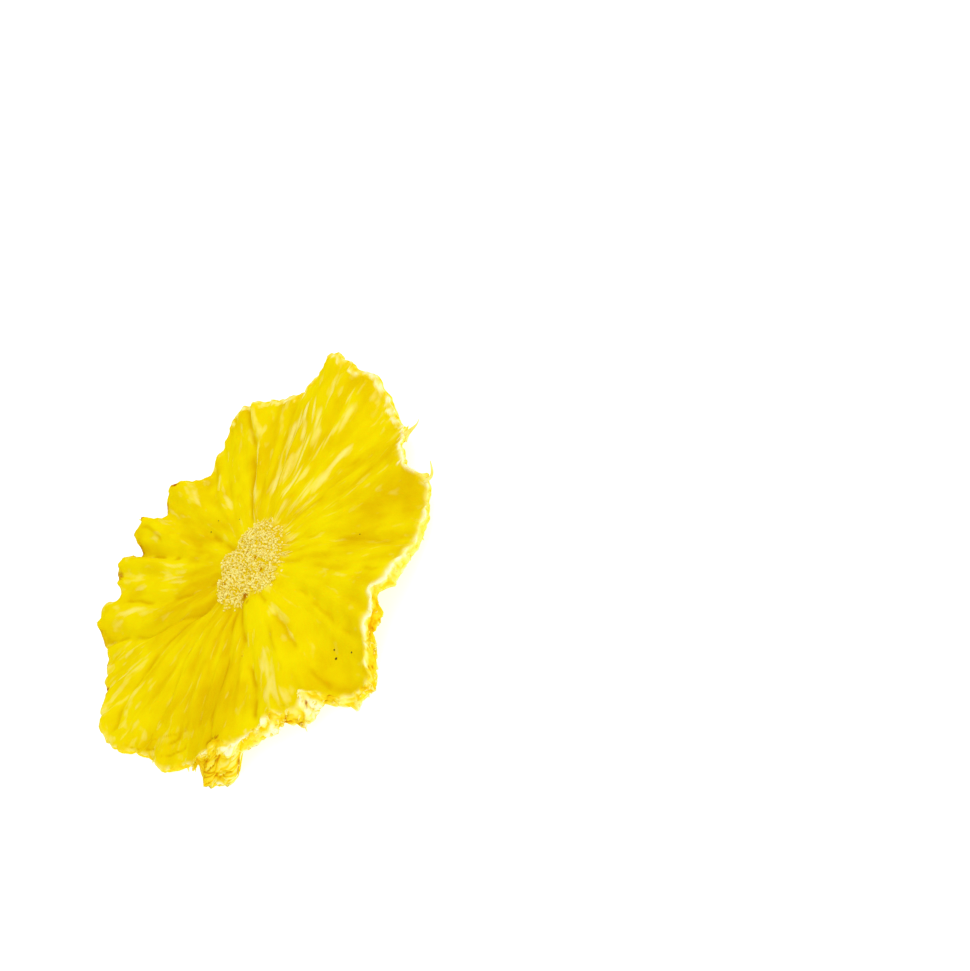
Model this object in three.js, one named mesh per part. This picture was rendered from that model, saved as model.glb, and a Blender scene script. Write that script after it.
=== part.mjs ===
// A dried slice of pineapple: one thin, wavy disc of flesh with its fibrous core left in.
// It lies flat, cut face up, and touches the surface below with a few low spots of its rim.
// Millimetres, +Z up. All heights below are measured from the level that the flesh had when fresh.

import * as THREE from 'three';

// ---- Driving dimensions -------------------------------------------------------------------

const roundRadius = 39;        // the slice before its edge shrank into lobes
const fleshThickness = 1.7;
const rimBeadWidth = 3;        // how far in from the edge its own thickness is felt
const restDepth = 4.3;         // how far below the flesh level the lowest spots reach
const wallBulge = 0.35;        // how far the middle of the cut edge stands out
const liftStarts = 0.35;       // share of the way out where the lift of the edge begins
const liftPower = 1.4;

// The edge, once round, anticlockwise: [degrees, reach, lift of its upper edge, thickness,
// how far its lower edge stands out beyond the upper one].
const rim = [
  [2, 39.8, 0.8, 1.5, -0.3], [8, 39.7, 2.2, 1.6, -0.3], [14, 41.2, 2.8, 1.6, -0.3],
  [20, 42.6, 3.0, 1.8, -0.3], [24, 40.5, 2.0, 1.9, -0.3], [28, 38.3, 0.8, 1.9, -0.3],
  [34, 37.2, 0, 1.9, -0.3], [42, 38, 0.2, 1.9, -0.3], [48, 38.8, 1.0, 1.9, -0.3],
  [54, 40.3, 1.6, 1.9, -0.3], [59, 39.8, 0.8, 1.9, -0.3], [65, 38.4, -1.2, 1.9, -0.3],
  [71, 36.5, -2.0, 1.9, -0.3], [78, 35.8, -1.8, 1.9, -0.3], [84, 37.7, 1.2, 1.9, -0.3],
  [89, 37.9, 0.2, 1.9, -0.3], [93, 36.6, -0.8, 1.9, -0.3], [98, 37.7, 1.8, 1.9, -0.3],
  [103, 38.6, 1.4, 1.9, -0.3], [107, 36.7, -0.4, 1.9, -0.3], [110.5, 39.1, 1.8, 1.9, -0.3],
  [115, 38.8, 0.2, 1.9, -0.3], [120, 37.6, 0, 1.9, -0.3], [124, 39.3, 0.6, 1.9, -0.3],
  [130, 40.6, 0, 1.9, -0.3], [136, 39.4, -1.5, 1.9, -0.3], [143, 38.2, -1.8, 1.9, -0.3],
  [150, 37.7, -1.4, 1.9, -0.3], [157, 37.6, -0.4, 1.9, -0.3], [163, 39.0, 0.1, 1.7, -0.3],
  [171, 40.8, -0.6, 1.5, -0.3], [182, 38.5, -1.8, 1.5, -0.3], [189, 37.5, -2.2, 1.5, -0.3],
  [197, 38.4, -2.9, 1.5, -0.3], [205, 36.9, -2.5, 1.5, -0.3], [211, 38.2, -1.3, 1.8, -0.3],
  [216, 36.8, 1.1, 2.4, -0.3], [222, 37.0, 1.7, 2.7, -0.3], [229, 38.0, 1.6, 3.3, -0.3],
  [235, 37.2, 1.2, 2.8, 0.2], [241, 37.3, 1.3, 3.1, 0.7], [248, 39.6, 1.0, 3.0, 0.6],
  [252, 38.6, 0.8, 3.0, 0.9], [258, 42.5, -1.5, 2.8, 0.5], [263, 43.9, -1.7, 2.9, 0],
  [267, 41.6, -0.6, 2.9, -0.1], [273, 38.8, 1.2, 3.1, 0], [278, 37.7, 1.4, 2.3, 0],
  [281, 36.4, 1.8, 2.4, 0.1], [285, 37.4, 1.2, 2.5, 0.2], [291, 37.7, 0.4, 2.2, 0],
  [298, 38.2, -0.9, 1.7, -0.3], [305, 38.7, -1.6, 1.5, -0.3], [310, 38.1, -1.6, 1.4, -0.3],
  [315, 38.8, -0.7, 1.4, -0.3], [319.5, 36.3, 0.3, 1.4, -0.3], [325, 35.1, 0.9, 1.4, -0.3],
  [331, 34.9, 0.5, 1.4, -0.3], [338, 35.5, -1.1, 1.4, -0.3], [345, 35.5, -2.8, 1.4, -0.3],
  [352, 36.3, -2.8, 1.4, -0.3],
];

// The edge crinkled as it drew in: waves in a turn, and how far each stands out and up. They are
// strongest at one angle, fade to a share of that, and grow between two shares of the way out.
const crinkles = {
  waves: [
    { count: 41, out: 0.22, up: 0.16 },
    { count: 67, out: 0.18, up: 0.12 },
    { count: 89, out: 0.12, up: 0.06 },
  ],
  at: 110,
  halfWidth: 80,
  least: 0.35,
  grow: [0.75, 1],
};

// The torn tab on the near side hangs from the edge: its skin runs on down below the flesh,
// outwards and to one side (degrees). It fades between two shares of its half width.
const tab = { at: 224, halfWidth: 7.5, fade: [0.6, 1.2], drop: 3.4, reach: 3.9, lean: -8, leanWidth: 19 };
const flareStarts = 0.85;      // share of the way out where the underside begins to flare

// The woody core shrinks less, so it stands proud: [degrees, radius] of its outline.
const coreEdge = [
  [0, 7.9], [30, 8.2], [60, 8.1], [75, 7.0], [90, 6.5], [105, 7.9], [120, 8.1], [135, 7.6], [150, 8.3],
  [165, 8.8], [180, 9.0], [195, 9.3], [210, 8.7], [225, 7.4], [240, 7.9], [270, 8.5], [300, 8.0], [330, 8.3],
];
const coreRise = 0.5;
const coreThickness = 3.4;
const coreShoulder = [-0.8, 0.8];  // where its rise fades, measured out from the outline
const coreUnderside = [-1, 4];     // where its extra thickness fades
const grainHeight = 0.3;           // broken fibre ends on its face

// Low spots under the edge that carry the slice: [radius, degrees, extra depth].
const feet = [
  [34, 74, 0.9], [36.5, 144, 1.3], [36.5, 198, 0.3], [37, 224, 0.9], [41, 263, 0.2], [34, 348, 0.5],
];
const footSize = 3.5;

// Folds of the upper face: a line of [radius, degrees], how high (negative for a crease) and how wide.
const folds = [
  { line: [[8, 212], [11.6, 219], [19, 230], [29, 236], [37, 235]], height: -0.8, width: 1.3 },
  { line: [[10, 246], [35, 247]], height: 0.9, width: 4.5 },
  { line: [[9, 247], [16, 253], [24, 254], [38, 256]], height: -0.5, width: 1.0 },
  { line: [[12, 268], [20, 266], [30, 262], [41, 262]], height: -0.6, width: 2.2 },
  { line: [[17, 273], [28, 270], [38, 269]], height: -0.4, width: 1.0 },
  { line: [[14, 290], [36, 286]], height: 0.4, width: 3.0 },
  { line: [[9, 320], [19, 305], [31, 299], [39, 300]], height: -0.4, width: 1.2 },
  { line: [[16, 312], [36, 318]], height: 0.4, width: 2.6 },
  { line: [[10, 351], [20, 345], [25, 344]], height: -0.4, width: 0.9 },
  { line: [[12, 352], [30, 355]], height: 0.4, width: 1.6 },
  { line: [[14, 8], [36, 11]], height: 0.5, width: 1.7 },
  { line: [[12, 17], [17, 24], [23, 26], [36, 28]], height: 0.5, width: 1.6 },
  { line: [[13, 37], [34, 40]], height: 0.5, width: 1.5 },
  { line: [[10, 53], [17, 53], [23, 51], [29, 50.5], [40, 53]], height: -0.7, width: 1.1 },
  { line: [[12, 49], [17, 50], [23, 47.5], [29, 46.5], [37, 49.5]], height: 0.9, width: 1.4 },
  { line: [[8, 90], [18, 90]], height: -0.6, width: 0.9 },
  { line: [[24, 108], [38, 107]], height: -0.8, width: 1.3 },
  { line: [[7, 132], [13, 137], [22, 131], [33, 125], [40, 122]], height: -0.7, width: 1.4 },
  { line: [[15, 143], [25, 139], [37, 130]], height: 0.5, width: 1.8 },
  { line: [[12, 162], [18, 151], [25, 146], [34, 137], [39, 135]], height: -0.6, width: 1.2 },
  { line: [[16, 157], [26, 153], [37, 151]], height: 0.4, width: 2.0 },
  { line: [[9, 161], [21, 160], [32, 165], [38, 170]], height: -0.5, width: 1.2 },
  { line: [[9, 172], [19, 181], [28, 186], [36, 184]], height: -0.4, width: 1.1 },
  { line: [[14, 190], [36, 196]], height: 0.4, width: 3.0 },
  { line: [[10, 198], [17, 203], [27, 206], [36, 208]], height: -0.4, width: 1.1 },
  { line: [[10, 206], [20, 216], [29, 216], [35, 218]], height: -0.8, width: 1.4 },
];
const foldEnd = 2.5;           // how far a fold runs on past its ends

// Fine waves that drying leaves all over the flesh: waves in a turn, how far they lean over on
// the way out (degrees), height.
const ripples = [
  { count: 37, lean: 12, height: 0.14 },
  { count: 23, lean: -17, height: 0.16 },
  { count: 53, lean: 6, height: 0.09 },
];
const ripplesGrow = [0.25, 0.6];   // shares of the way out between which they reach their height

// The cut edge is crumpled a little all round and torn on the near side (millimetres, degrees).
const crumple = { all: 0.1, torn: 0.34, at: 250, halfWidth: 34, starts: 0.93 };

// Shreds that stick out of the cut edge: [degrees, share of the way down it, out, up, width].
const shreds = [
  [251.5, 0, -0.2, 1.0, 0.9], [238.5, 0, 0.3, 0.6, 1.0], [257.8, 1, 1.1, 0, 1.0], [246, 1, 0.7, 0, 0.9],
  [278, 0.7, 0.9, 0, 1.0], [285, 0.8, 0.8, 0, 1.0], [316, 0.5, 0.9, 0.5, 0.9], [340, 0.5, 0.9, 0.4, 0.9],
];
const shredSpread = 0.5;       // share of the way down the edge over which a shred fades

// The mesh: corners of each ring, and the rings' places as shares of the way out.
const topRings = {
  counts: [[0.1, 18], [0.2, 36], [0.36, 72], [0.66, 144], [1, 288]],
  places: [
    0.08, 0.14, 0.2, 0.26, 0.32, 0.38, 0.44, 0.5, 0.56, 0.62, 0.68, 0.74, 0.8,
    0.855, 0.905, 0.945, 0.975, 1,
  ],
};
const bottomRings = {
  counts: [[0.2, 18], [0.36, 36], [0.66, 72], [0.92, 144], [1, 288]],
  places: [0.1, 0.2, 0.28, 0.36, 0.45, 0.54, 0.63, 0.7, 0.77, 0.83, 0.88, 0.92, 0.96, 1],
};
const wallRows = [0.33, 0.67];  // shares of the way down the cut edge

// ---- Small helpers ------------------------------------------------------------------------

const degrees = Math.PI / 180;
const { clamp, lerp, smoothstep } = THREE.MathUtils;
const bump = (distance, width) => Math.exp(-((distance / width) ** 2));
const wrap = (angle) => ((angle % 360) + 360) % 360;
const turnBetween = (a, b) => wrap(a - b + 180) - 180;

// A smooth closed curve through one column of a table whose first column is the angle.
function closedCurve(table, column, angle) {
  const n = table.length;
  const row = (i) => table[((i % n) + n) % n];
  const later = table.findIndex((entry) => entry[0] > wrap(angle));
  const i = (later < 0 ? n : later) - 1;
  const gap = (a, b) => wrap(row(b)[0] - row(a)[0]);
  const span = gap(i, i + 1);
  const t = wrap(angle - row(i)[0]) / span;
  const [y0, y1, y2, y3] = [-1, 0, 1, 2].map((k) => row(i + k)[column]);
  const slope1 = ((y2 - y0) / (gap(i - 1, i) + span)) * span;
  const slope2 = ((y3 - y1) / (span + gap(i + 1, i + 2))) * span;
  return y1 + slope1 * t + (3 * (y2 - y1) - 2 * slope1 - slope2) * t ** 2
    + (2 * (y1 - y2) + slope1 + slope2) * t ** 3;
}

// One sum over the crinkles' waves, as strong as they are at this angle.
function crinkle(angle, wave) {
  const strength = lerp(crinkles.least, 1, bump(turnBetween(angle, crinkles.at), crinkles.halfWidth));
  return strength * crinkles.waves.reduce((sum, each) => sum + wave(each), 0);
}

const crinkleOut = (angle) => crinkle(angle, ({ count, out }) => out * Math.sin(count * angle * degrees));
const crinkleUp = (angle) => crinkle(angle, ({ count, up }) => up * Math.cos(count * angle * degrees));
const reachOf = (angle) => closedCurve(rim, 1, angle) + crinkleOut(angle);
const liftOf = (angle) => closedCurve(rim, 2, angle);
const edgeThickness = (angle) => closedCurve(rim, 3, angle);
const flareOf = (angle) => closedCurve(rim, 4, angle);

// A repeatable scatter between -1 and 1.
const scatter = (a, b) => {
  const s = Math.sin(a * 12.9898 + b * 78.233) * 43758.5453;
  return 2 * (s - Math.floor(s)) - 1;
};

// ---- The form -----------------------------------------------------------------------------

const tabShare = (angle) => {
  const off = Math.abs(turnBetween(angle, tab.at)) / tab.halfWidth;
  return 1 - smoothstep(off, ...tab.fade);
};

const tabLean = (angle) => {
  const off = Math.abs(turnBetween(angle, tab.at));
  return tab.lean * (1 - smoothstep(off, tab.halfWidth / 2, tab.leanWidth));
};

// Rings near the core are round; further out they take on the lobes of the edge.
const radiusAt = (share, angle) => share * lerp(roundRadius, reachOf(angle), share ** 3);

// The angle of a fold's line at some radius.
function lineAngle(line, radius) {
  const next = clamp(line.findIndex(([r]) => r > radius), 1, line.length - 1);
  const last = radius >= line[line.length - 1][0] ? line.length - 1 : next;
  const [r0, a0] = line[last - 1];
  const [r1, a1] = line[last];
  return a0 + clamp((radius - r0) / (r1 - r0), 0, 1) * turnBetween(a1, a0);
}

function foldHeight(radius, angle) {
  let sum = 0;
  for (const { line, height, width } of folds) {
    const aside = turnBetween(angle, lineAngle(line, radius)) * degrees * radius;
    const past = Math.max(line[0][0] - radius, radius - line[line.length - 1][0], 0);
    sum += height * bump(aside, width) * bump(past, foldEnd);
  }
  return sum;
}

function rippleHeight(share, angle) {
  const growth = smoothstep(share, ...ripplesGrow);
  return growth * ripples.reduce((sum, { count, lean, height }) => (
    sum + height * Math.sin(count * (angle + lean * share) * degrees)), 0);
}

function topHeight(share, angle) {
  const radius = radiusAt(share, angle);
  const lift = liftOf(angle) * smoothstep(share, liftStarts, 1) ** liftPower;
  const crinkled = crinkleUp(angle) * smoothstep(share, ...crinkles.grow);
  const beyondCore = radius - closedCurve(coreEdge, 1, angle);
  const onCore = 1 - smoothstep(beyondCore, ...coreShoulder);
  const grain = grainHeight * scatter(share, angle);
  const waves = rippleHeight(share, angle) + crinkled;
  return lift + foldHeight(radius, angle) + waves + onCore * (coreRise + grain);
}

const footDepth = (radius, angle) => feet.reduce((sum, [footRadius, footAngle, depth]) => {
  const aside = turnBetween(angle, footAngle) * degrees * radius;
  return sum + depth * bump(Math.hypot(aside, radius - footRadius), footSize);
}, 0);

function thicknessAt(share, angle) {
  const radius = radiusAt(share, angle);
  const beyondCore = radius - closedCurve(coreEdge, 1, angle);
  const underCore = 1 - smoothstep(beyondCore, ...coreUnderside);
  const atRim = bump(reachOf(angle) - radius, rimBeadWidth);
  const core = (coreThickness - fleshThickness) * underCore;
  const edge = (edgeThickness(angle) - fleshThickness + tab.drop * tabShare(angle)) * atRim;
  return fleshThickness + core + edge + footDepth(radius, angle);
}

// How far the crumpled edge strays from its mean line: down is 0 at its upper corner, 1 at the lower.
function crumpleAt(share, angle, down) {
  const torn = crumple.torn * bump(turnBetween(angle, crumple.at), crumple.halfWidth);
  const near = smoothstep(share, crumple.starts, 1);
  const size = (crumple.all + torn) * near;
  const row = share + down;
  let out = size * scatter(angle, row);
  let up = size * scatter(row, angle);
  for (const [at, place, shredOut, shredUp, width] of shreds) {
    const aside = turnBetween(angle, at) * degrees * roundRadius;
    const weight = near ** 2 * bump(aside, width) * bump(down - place, shredSpread);
    out += shredOut * weight;
    up += shredUp * weight;
  }
  return { out, up };
}

const pointAt = (radius, angle, height) => [
  radius * Math.cos(angle * degrees), radius * Math.sin(angle * degrees), height,
];

function topPoint(share, angle) {
  const { out, up } = crumpleAt(share, angle, 0);
  return pointAt(radiusAt(share, angle) + out, angle, topHeight(share, angle) + up);
}

// The underside follows the upper face, and is pressed flat where it meets the surface below.
function bottomPoint(share, angle) {
  const height = Math.max(topHeight(share, angle) - thicknessAt(share, angle), -restDepth);
  const atEdge = smoothstep(share, flareStarts, 1);
  const { out } = crumpleAt(share, angle, 1);
  const flare = atEdge * (flareOf(angle) + tab.reach * tabShare(angle));
  return pointAt(radiusAt(share, angle) + flare + out, angle + atEdge * tabLean(angle), height);
}

// The cut edge bulges a little between the two faces.
const wallPoint = (down) => (angle) => {
  const upper = topHeight(1, angle);
  const lower = Math.max(upper - thicknessAt(1, angle), -restDepth);
  const { out, up } = crumpleAt(1, angle, down);
  const bulge = wallBulge * 4 * down * (1 - down);
  const flare = down * (flareOf(angle) + tab.reach * tabShare(angle));
  const reach = reachOf(angle) + flare + bulge + out;
  return pointAt(reach, angle + down * tabLean(angle), lerp(upper, lower, down) + up / 2);
};

// ---- The mesh: two faces and the cut edge between them -------------------------------------

function sliceGeometry() {
  const positions = [];
  const triangles = [];
  const addRing = (count, place) => {
    const first = positions.length / 3;
    for (let k = 0; k < count; k += 1) positions.push(...place((360 * k) / count));
    return { first, count };
  };
  const corner = (ring, k) => ring.first + (k % ring.count);

  // Joins an inner ring to an outer one that has as many corners or twice as many.
  const join = (inner, outer, flip) => {
    const add = (a, b, c) => triangles.push(...(flip ? [a, c, b] : [a, b, c]));
    const twice = outer.count / inner.count;
    for (let k = 0; k < inner.count; k += 1) {
      const [a, b] = [corner(inner, k), corner(inner, k + 1)];
      const [c, e] = [corner(outer, k * twice), corner(outer, (k + 1) * twice)];
      if (twice === 1) {
        add(a, c, e);
        add(a, e, b);
      } else {
        const d = corner(outer, k * twice + 1);
        add(a, c, d);
        add(a, d, b);
        add(b, d, e);
      }
    }
  };

  const face = ({ counts, places }, place, flip) => {
    const centre = positions.length / 3;
    positions.push(...place(0, 0));
    let inner = null;
    for (const share of places) {
      const [, count] = counts.find(([until]) => share <= until);
      const outer = addRing(count, (angle) => place(share, angle));
      if (inner) {
        join(inner, outer, flip);
      } else {
        for (let k = 0; k < count; k += 1) {
          const [a, b] = [corner(outer, k), corner(outer, k + 1)];
          triangles.push(...(flip ? [centre, b, a] : [centre, a, b]));
        }
      }
      inner = outer;
    }
    return inner;
  };

  let upper = face(topRings, topPoint, false);
  const bottomEdge = face(bottomRings, bottomPoint, true);
  for (const down of wallRows) {
    const lower = addRing(upper.count, wallPoint(down));
    join(upper, lower, false);
    upper = lower;
  }
  join(bottomEdge, upper, true);

  const geometry = new THREE.BufferGeometry();
  geometry.setAttribute('position', new THREE.Float32BufferAttribute(positions, 3));
  geometry.setIndex(triangles);
  return geometry;
}

// ---- The part: its box stands centred on the origin, its lowest spots at height 0 ----------

const geometry = sliceGeometry();
geometry.computeBoundingBox();
const middle = geometry.boundingBox.getCenter(new THREE.Vector3());
geometry.translate(-middle.x, -middle.y, restDepth);
geometry.computeVertexNormals();

const driedFlesh = new THREE.MeshStandardMaterial({ color: 0xf0d414, roughness: 0.45, metalness: 0 });
const slice = new THREE.Mesh(geometry, driedFlesh);
slice.name = 'dried_slice';

const part = new THREE.Group();
part.add(slice);
export default part;
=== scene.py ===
# %% [markdown]
# # A dried pineapple slice
# A whole slice of pineapple, cut across the fruit with the core left in and dried until it is a thin,
# wavy, leathery disc. The flesh shrinks along its fibres, the edge draws into lobes and the woody core
# keeps its size. This notebook builds it in steps: the body of the slice, the broken fibre ends on its
# core, the shreds along its cut edge, and a few dark specks. Then it sets a plain table and soft light.
# All lengths in the functions below are millimetres; Blender's own unit is the metre.

# %% The frame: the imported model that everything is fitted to
import math
import random

import bmesh
import bpy
import numpy as np
from mathutils import Matrix, Quaternion, Vector, noise


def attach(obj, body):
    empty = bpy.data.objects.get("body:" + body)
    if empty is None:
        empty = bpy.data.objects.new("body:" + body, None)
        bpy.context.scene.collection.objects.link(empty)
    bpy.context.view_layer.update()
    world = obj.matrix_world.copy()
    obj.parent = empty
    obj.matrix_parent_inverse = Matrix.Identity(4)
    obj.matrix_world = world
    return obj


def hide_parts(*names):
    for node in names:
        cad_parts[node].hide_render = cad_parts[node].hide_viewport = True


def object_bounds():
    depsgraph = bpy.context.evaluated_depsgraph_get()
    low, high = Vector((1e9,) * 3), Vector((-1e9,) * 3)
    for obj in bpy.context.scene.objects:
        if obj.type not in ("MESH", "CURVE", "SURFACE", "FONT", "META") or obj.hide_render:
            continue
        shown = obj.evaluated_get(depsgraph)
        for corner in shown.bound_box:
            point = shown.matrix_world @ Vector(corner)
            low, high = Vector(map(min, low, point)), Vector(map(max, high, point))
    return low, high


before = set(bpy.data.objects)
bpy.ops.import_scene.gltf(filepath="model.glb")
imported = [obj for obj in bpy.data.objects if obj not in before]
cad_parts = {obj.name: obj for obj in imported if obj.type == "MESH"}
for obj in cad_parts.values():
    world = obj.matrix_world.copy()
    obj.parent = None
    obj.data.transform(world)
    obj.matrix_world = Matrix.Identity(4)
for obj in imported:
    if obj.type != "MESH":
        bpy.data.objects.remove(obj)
cad_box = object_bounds()
MM = 0.001
BODY = "root"
NODE = "dried_slice"
print("frame loaded; box in mm:", [round(c / MM, 1) for corner in cad_box for c in corner])

# %% [markdown]
# ## Colours and nodes
# Colours are written as sRGB hex values, the way a colour picker shows them. Blender's nodes work in
# linear light, so one function turns the first into the second. A second function adds a node with its
# settings and gives back one of its outputs, so a material reads as a list of named steps. Sockets are
# named or counted. A colour mix has its share on socket 0, its colours on 6 and 7 and the result on
# output 2; a map range reads socket 0 between sockets 1 and 2, and gives what 3 and 4 say (0 and 1).

# %% Helpers for materials and objects
COLOUR_MIX = {"output": 2, "data_type": "RGBA"}
MULTIPLY_ADD = {"operation": "MULTIPLY_ADD"}       # socket 0 times socket 1, plus socket 2


def linear(hex_colour):
    """The linear RGBA value of an sRGB hex colour."""
    channels = [int(hex_colour[i:i + 2], 16) / 255 for i in (1, 3, 5)]
    return [c / 12.92 if c <= 0.04045 else ((c + 0.055) / 1.055) ** 2.4 for c in channels] + [1.0]


def add_node(tree, kind, inputs, output=0, **settings):
    """Add a node and return one output; inputs gives each socket a value or another node's output."""
    node = tree.nodes.new(kind)
    for name, value in settings.items():
        setattr(node, name, value)
    for socket, value in inputs.items():
        if isinstance(value, bpy.types.NodeSocket):
            tree.links.new(value, node.inputs[socket])
        else:
            node.inputs[socket].default_value = value
    return node.outputs[output]


def start_material(name, values):
    """A new material, its node tree and its shader, with plain values set on the shader."""
    material = bpy.data.materials.new(name)
    material.use_nodes = True
    shader = material.node_tree.nodes["Principled BSDF"]
    for socket, value in values.items():
        shader.inputs[socket].default_value = value
    return material, material.node_tree, shader


def add_object(name, data):
    """A new object in the scene, at the origin, unturned and unscaled."""
    thing = bpy.data.objects.new(name, data)
    bpy.context.scene.collection.objects.link(thing)
    return thing


def mottled_material(name, tones, patch_size, values):
    """A material that wavers between two colours, in soft patches of a size in millimetres."""
    material, tree, shader = start_material(name, values)
    where = add_node(tree, "ShaderNodeTexCoord", {}, "Object")
    patches = add_node(tree, "ShaderNodeTexNoise", {"Vector": where, "Scale": 1 / (patch_size * MM)}, "Fac")
    tone = add_node(tree, "ShaderNodeMix", {0: patches, 6: linear(tones[0]), 7: linear(tones[1])},
                    **COLOUR_MIX)
    tree.links.new(tone, shader.inputs["Base Color"])
    return material


# %% [markdown]
# ## The form of the slice
# Every point of the slice is named by two numbers: its share of the way from the core's centre to the
# edge, and its angle. Simple functions of those two give its height and its thickness. The edge itself
# is a short table of lobes and notches, read through a smooth closed curve. This is easier to steer
# than sculpting, and the same functions can later say where the fibres run and where it browned.

# %% Driving sizes, in millimetres and degrees
ROUND_RADIUS = 39.0        # the slice before its edge shrank into lobes
FLESH_THICKNESS = 1.7
RIM_BEAD_WIDTH = 3.0       # how far in from the edge its own thickness is felt
REST_DEPTH = 4.3           # from the flesh level down to the table
WALL_BULGE = 0.35          # how far the cut edge swells out between its two corners
LIFT_STARTS = 0.35         # share of the way out where the lobes begin to rise
LIFT_POWER = 1.4           # above 1, they do most of it near the edge

# The edge, once round: degrees, reach, lift of its upper edge, thickness, and how far its lower edge
# stands out beyond the upper one.
RIM = np.array([
    [2, 39.8, 0.8, 1.5, -0.3], [8, 39.7, 2.2, 1.6, -0.3], [14, 41.2, 2.8, 1.6, -0.3],
    [20, 42.6, 3.0, 1.8, -0.3], [24, 40.5, 2.0, 1.9, -0.3], [28, 38.3, 0.8, 1.9, -0.3],
    [34, 37.2, 0, 1.9, -0.3], [42, 38, 0.2, 1.9, -0.3], [48, 38.8, 1.0, 1.9, -0.3],
    [54, 40.3, 1.6, 1.9, -0.3], [59, 39.8, 0.8, 1.9, -0.3], [65, 38.4, -1.2, 1.9, -0.3],
    [71, 36.5, -2.0, 1.9, -0.3], [78, 35.8, -1.8, 1.9, -0.3], [84, 37.7, 1.2, 1.9, -0.3],
    [89, 37.9, 0.2, 1.9, -0.3], [93, 36.6, -0.8, 1.9, -0.3], [98, 37.7, 1.8, 1.9, -0.3],
    [103, 38.6, 1.4, 1.9, -0.3], [107, 36.7, -0.4, 1.9, -0.3], [110.5, 39.1, 1.8, 1.9, -0.3],
    [115, 38.8, 0.2, 1.9, -0.3], [120, 37.6, 0, 1.9, -0.3], [124, 39.3, 0.6, 1.9, -0.3],
    [130, 40.6, 0, 1.9, -0.3], [136, 39.4, -1.5, 1.9, -0.3], [143, 38.2, -1.8, 1.9, -0.3],
    [150, 37.7, -1.4, 1.9, -0.3], [157, 37.6, -0.4, 1.9, -0.3], [163, 39.0, 0.1, 1.7, -0.3],
    [171, 40.8, -0.6, 1.5, -0.3], [182, 38.5, -1.8, 1.5, -0.3], [189, 37.5, -2.2, 1.5, -0.3],
    [197, 38.4, -2.9, 1.5, -0.3], [205, 36.9, -2.5, 1.5, -0.3], [211, 38.2, -1.3, 1.8, -0.3],
    [216, 36.8, 1.1, 2.4, -0.3], [222, 37.0, 1.7, 2.7, -0.3], [229, 38.0, 1.6, 3.3, -0.3],
    [235, 37.2, 1.2, 2.8, 0.2], [241, 37.3, 1.3, 3.1, 0.7], [248, 39.6, 1.0, 3.0, 0.6],
    [252, 38.6, 0.8, 3.0, 0.9], [258, 42.5, -1.5, 2.8, 0.5], [263, 43.9, -1.7, 2.9, 0],
    [267, 41.6, -0.6, 2.9, -0.1], [273, 38.8, 1.2, 3.1, 0], [278, 37.7, 1.4, 2.3, 0],
    [281, 36.4, 1.8, 2.4, 0.1], [285, 37.4, 1.2, 2.5, 0.2], [291, 37.7, 0.4, 2.2, 0],
    [298, 38.2, -0.9, 1.7, -0.3], [305, 38.7, -1.6, 1.5, -0.3], [310, 38.1, -1.6, 1.4, -0.3],
    [315, 38.8, -0.7, 1.4, -0.3], [319.5, 36.3, 0.3, 1.4, -0.3], [325, 35.1, 0.9, 1.4, -0.3],
    [331, 34.9, 0.5, 1.4, -0.3], [338, 35.5, -1.1, 1.4, -0.3], [345, 35.5, -2.8, 1.4, -0.3],
    [352, 36.3, -2.8, 1.4, -0.3],
])
# Crinkles of the edge: waves in a turn, how far out, how far up. Then where they are strongest, how
# wide that is, and their share elsewhere.
CRINKLES = [(41, 0.22, 0.16), (67, 0.18, 0.12), (89, 0.12, 0.06)]
CRINKLED_AT = (110, 80, 0.35)
# The torn tab: its place and half its width in degrees, how much it thickens the edge, how far its tip
# stands out, and how far it leans, in degrees, and over what width.
TAB = {"at": 224, "half_width": 7.5, "drop": 3.4, "reach": 3.9, "lean": -8, "lean_width": 19}
print(len(RIM), "rim entries")

# %% The woody core, and the spots that carry the slice
# The outline of the core: degrees, radius.
CORE_EDGE = np.array([
    [0, 7.9], [30, 8.2], [60, 8.1], [75, 7.0], [90, 6.5], [105, 7.9], [120, 8.1], [135, 7.6], [150, 8.3],
    [165, 8.8], [180, 9.0], [195, 9.3], [210, 8.7], [225, 7.4], [240, 7.9], [270, 8.5], [300, 8.0],
    [330, 8.3],
])
CORE_RISE = 0.5
CORE_THICKNESS = 3.4

# Low spots under the edge that carry the slice: radius, degrees, extra depth.
FEET = [(34, 74, 0.9), (36.5, 144, 1.3), (36.5, 198, 0.3), (37, 224, 0.9), (41, 263, 0.2), (34, 348, 0.5)]
FOOT_SIZE = 3.5
print(len(CORE_EDGE), "points round the core,", len(FEET), "low spots")

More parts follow.
